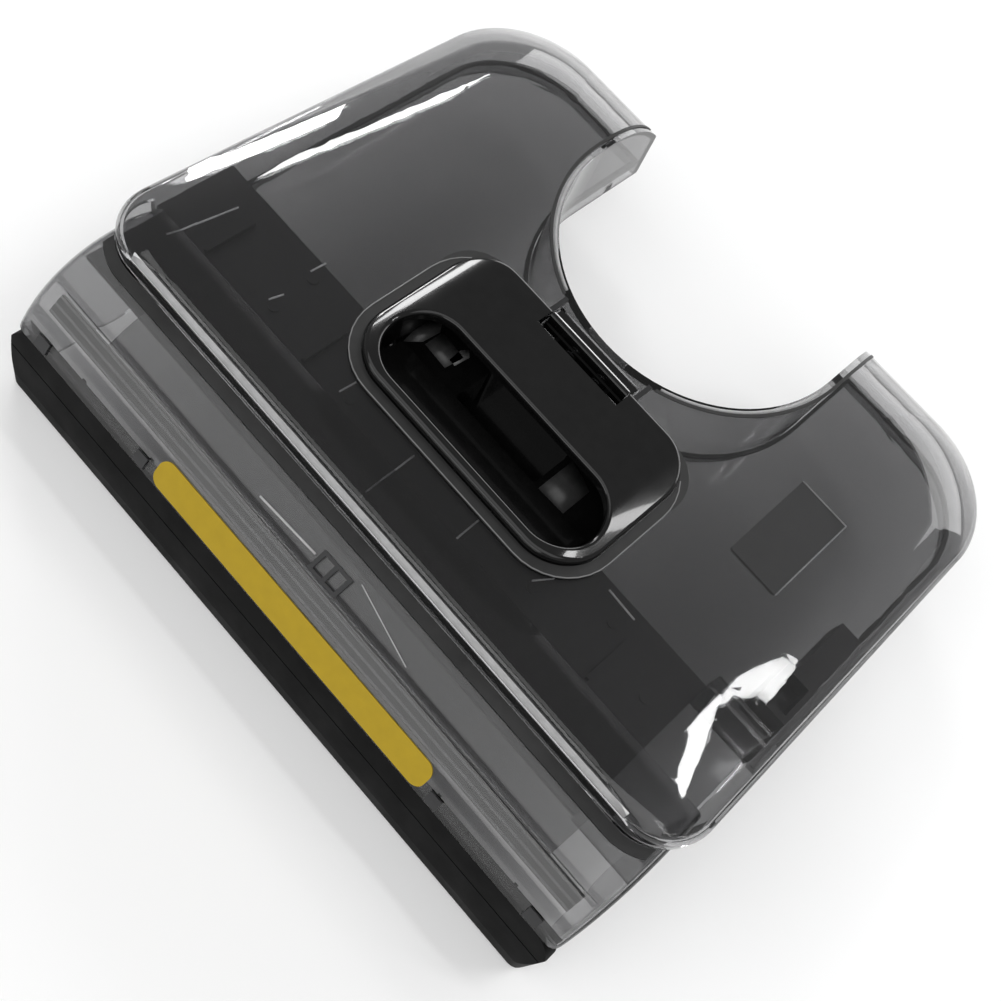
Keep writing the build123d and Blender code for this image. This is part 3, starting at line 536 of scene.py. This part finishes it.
# %% Floor and world
FLOOR_HALF = 3.0
FLOOR_RISE = 1.5
WORLD_STRENGTH = 0.35


def floor_sheet(size, rise):
    """A flat floor that bends up at the rear: a profile of a line and an arc, carried along X."""
    arc = np.linspace(0, math.pi / 2, 24)
    profile_y = np.concatenate([[-size], size + rise * np.sin(arc)])
    profile_z = np.concatenate([[0], rise * (1 - np.cos(arc))])
    across = np.array([-2 * size, 2 * size])
    grid_x, grid_y = np.meshgrid(across, profile_y)
    points = np.stack([grid_x.ravel(), grid_y.ravel(), np.repeat(profile_z, 2)], 1)
    rows = np.arange(len(profile_y) - 1)[:, None] * 2
    faces = rows + np.array([0, 1, 3, 2])
    mesh = bpy.data.meshes.new("floor")
    mesh.from_pydata(points.tolist(), [], faces.tolist())
    mesh.shade_smooth()
    return bpy.data.objects.new("floor", mesh)


floor = floor_sheet(FLOOR_HALF, FLOOR_RISE)
bpy.context.scene.collection.objects.link(floor)
floor_paint, floor_output = new_material("floor_paint")
paint = add_node(floor_paint, "ShaderNodeBsdfPrincipled", Roughness=0.9)
paint.inputs["Base Color"].default_value = (0.95, 0.95, 0.95, 1)
join(floor_paint, paint.outputs["BSDF"], floor_output.inputs["Surface"])
floor.data.materials.append(floor_paint)

world = bpy.data.worlds.new("studio")
world.use_nodes = True
world.node_tree.nodes["Background"].inputs["Color"].default_value = (1, 1, 1, 1)
world.node_tree.nodes["Background"].inputs["Strength"].default_value = WORLD_STRENGTH
bpy.context.scene.world = world
print("floor", floor.dimensions[:])

# %% [markdown]
# ## Lamps
# On glossy plastic a lamp is seen as its mirror image, so each lamp's place is chosen from the surface
# that should show it. Three wide lamps light the front edge, the inside and the rear shoulders. Four
# narrow ones draw the streak and the patch on the left side and the crescent at the front right corner.
# To the camera, none of them is mirrored in the flat top, which stays dark.

# %% Lamps
def lamp(name, end_a, end_b, wide, power, aim=(0.0, 0.0, 0.075)):
    """A rectangular soft lamp whose middle line runs from end_a to end_b, facing aim; metres and watts."""
    end_a, end_b = Vector(end_a), Vector(end_b)
    middle = (end_a + end_b) / 2
    facing = (Vector(aim) - middle).normalized()
    long_axis = (end_b - end_a).normalized()
    long_axis = (long_axis - facing * long_axis.dot(facing)).normalized()
    data = bpy.data.lights.new(name, "AREA")
    data.shape = "RECTANGLE"
    data.size = (end_b - end_a).length
    data.size_y = wide
    data.energy = power
    thing = bpy.data.objects.new(name, data)
    axes = Matrix((long_axis, (-facing).cross(long_axis), -facing)).transposed().to_4x4()
    thing.matrix_world = Matrix.Translation(middle) @ axes
    bpy.context.scene.collection.objects.link(thing)
    print(name, "lamp, %.1f W per square metre" % (power / wide / data.size))


LEFT_SIDE = (-0.12, 0.015, 0.075)
LEFT_WALL = (-0.135, 0.02, 0.07)
RIGHT_CORNER = (0.12, -0.04, 0.075)
lamp("front_soft", (-1.5, -1.6, 0.75), (0.9, -2.0, 0.75), 0.8, 13)
lamp("overhead_soft", (-2.0, -0.8, 1.7), (2.0, -0.8, 1.7), 1.4, 20)
lamp("rear_soft", (-1.3, 1.7, 0.55), (1.5, 1.7, 0.55), 0.9, 20)
lamp("streak_strip", (-1.22, 0.72, 0.97), (-0.97, 1.01, 1.04), 0.15, 3.5, LEFT_SIDE)
lamp("crescent_strip", (0.30, 0.55, 1.2), (0.88, 0.55, 1.2), 0.07, 2.2, RIGHT_CORNER)
lamp("crescent_tail", (0.34, 0.60, 1.2), (1.0, 0.90, 1.2), 0.06, 2.1, RIGHT_CORNER)
lamp("left_panel", (-1.45, 0.72, 0.12), (-1.45, 0.72, 0.46), 0.24, 4.0, LEFT_WALL)

# %% [markdown]
# ## Camera
# The camera looks down at the cover from the front right, and it is rolled so that the cover lies
# across the picture. Its aim, distance, direction, roll and lens are what fix it.

# %% Camera
AIM = Vector((0.0211, -0.0500, 0.0754))
DISTANCE = 0.4158
AZIMUTH = math.radians(16.84)
ELEVATION = math.radians(61.92)
ROLL = math.radians(-32.96)
LENS = 44.83

flat_reach = math.cos(ELEVATION)
back = Vector((math.sin(AZIMUTH) * flat_reach, -math.cos(AZIMUTH) * flat_reach, math.sin(ELEVATION)))
level = Vector((0, 0, 1)).cross(back).normalized()
rise = back.cross(level)
up = rise * math.cos(ROLL) + level * math.sin(ROLL)
right = up.cross(back)
camera_data = bpy.data.cameras.new("camera")
camera_data.lens = LENS
camera_data.clip_start = 0.01
camera = bpy.data.objects.new("camera", camera_data)
camera_axes = Matrix((right, up, back)).transposed().to_4x4()
camera.matrix_world = Matrix.Translation(AIM + back * DISTANCE) @ camera_axes
bpy.context.scene.collection.objects.link(camera)
bpy.context.scene.camera = camera
bpy.context.scene.view_settings.view_transform = "Standard"
print("camera at", tuple(round(c, 4) for c in camera.location))
